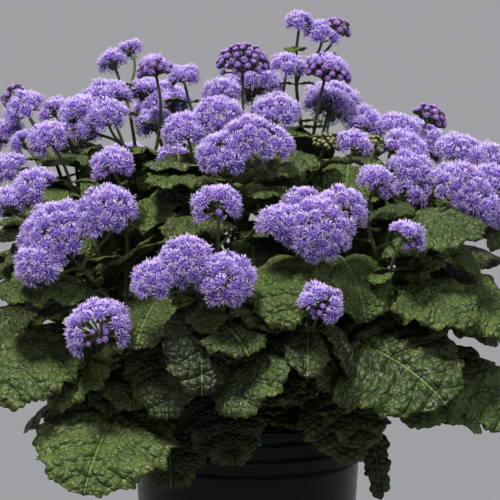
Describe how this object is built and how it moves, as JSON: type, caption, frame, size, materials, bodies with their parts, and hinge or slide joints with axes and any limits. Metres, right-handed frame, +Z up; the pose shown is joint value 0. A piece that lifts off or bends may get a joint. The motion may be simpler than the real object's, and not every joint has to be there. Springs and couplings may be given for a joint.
{
  "type": "potted ageratum",
  "caption": "Ageratum in full flower in a round nursery pot, with fluffy lavender flower heads over broad toothed leaves.",
  "frame": {"origin": "centre of the pot's underside, on the surface it stands on", "axes": "+Z up along the pot's axis, -Y towards the front of the plant, +X to its right"},
  "size_m": [0.3777, 0.3775, 0.4409],
  "materials": {
    "pot": "satin",
    "soil": "matte",
    "leaf": "satin",
    "floss": "matte",
    "bud": "matte"
  },
  "bodies": {
    "root": {"stem_front_left": "leaf", "stem_front_mid": "leaf", "stem_front_right": "leaf", "stem_right_front": "leaf", "stem_middle": "leaf", "stem_left": "leaf", "stem_top_right": "leaf", "stem_top_left": "leaf", "stem_right": "leaf", "stem_top_middle": "leaf", "stem_back_left": "leaf", "stem_back_right": "leaf", "head_large_left": "floss", "head_low_left": "floss", "head_high_left": "floss", "head_arch": "floss", "head_centre_small": "floss", "head_centre_right": "floss", "head_low_right": "floss", "head_small_right": "floss", "head_mid_right": "floss", "head_large_right": "floss", "head_centre_large": "floss", "head_upper_left": "floss", "head_tucked": "floss", "head_left_low": "floss", "head_left_mid": "floss", "head_left_top": "floss", "head_left_crown": "floss", "head_crown": "floss", "head_bud_right": "bud", "head_behind_right": "floss", "head_left_mass": "floss", "head_twin_left": "floss", "head_bud_left": "bud", "head_pale_left": "floss", "head_right_chain": "floss", "head_inner_right": "floss", "head_bud_far_right": "bud", "head_right_edge": "floss", "head_bud_front": "bud", "head_top_right_small": "floss", "head_top_centre": "floss", "head_top_left_small": "floss", "head_top_back_small": "floss", "head_back_top": "floss", "head_back_far_left": "floss", "head_back_upper_left": "floss", "head_back_side_left": "floss", "head_back_mid_left": "floss", "head_back_low_left": "floss", "head_back_upper_right": "floss", "head_back_far_right": "floss", "head_back_centre": "floss", "head_back_mid_right": "floss", "head_back_side_right": "floss", "head_back_low_right": "floss", "head_back_edge_right": "floss", "soil": "soil", "pot": "pot"}
  },
  "joints": []
}
